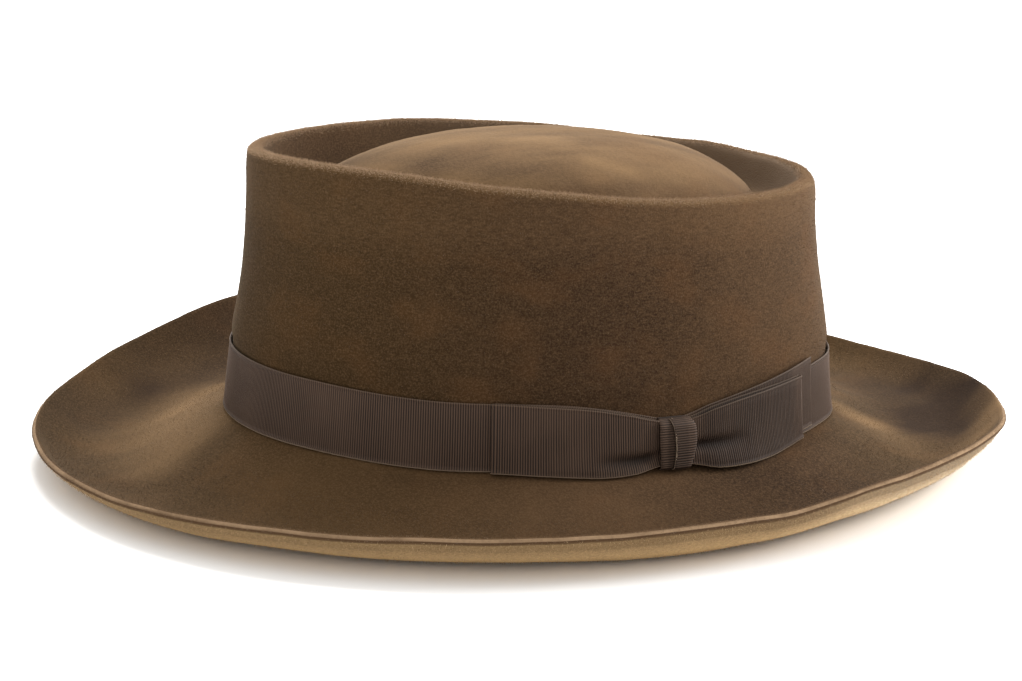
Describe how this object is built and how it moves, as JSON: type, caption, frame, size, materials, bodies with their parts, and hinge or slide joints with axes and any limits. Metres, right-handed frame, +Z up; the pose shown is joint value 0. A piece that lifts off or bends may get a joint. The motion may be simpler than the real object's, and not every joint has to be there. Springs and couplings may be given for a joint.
{
  "type": "gambler hat",
  "caption": "Brown felt hat with an oval telescope crown, a curled oval brim and a grosgrain band with a flat bow on its left side.",
  "frame": {"origin": "middle of the hat's box in plan, at the surface that the hat rests on", "axes": "+Z up, -Y towards the front of the hat, +X towards the wearer's left, where the bow is"},
  "size_m": [0.2964, 0.328, 0.106],
  "materials": {
    "felt": "brown velour-finished felt with a short soft nap",
    "ribbon": "dark grey-brown ribbed grosgrain ribbon"
  },
  "bodies": {
    "root": {"felt_body": "felt", "band_ribbon": "ribbon", "bow_under_layer": "ribbon", "bow_front_loop": "ribbon", "bow_rear_loop": "ribbon", "bow_knot": "ribbon"}
  },
  "joints": []
}
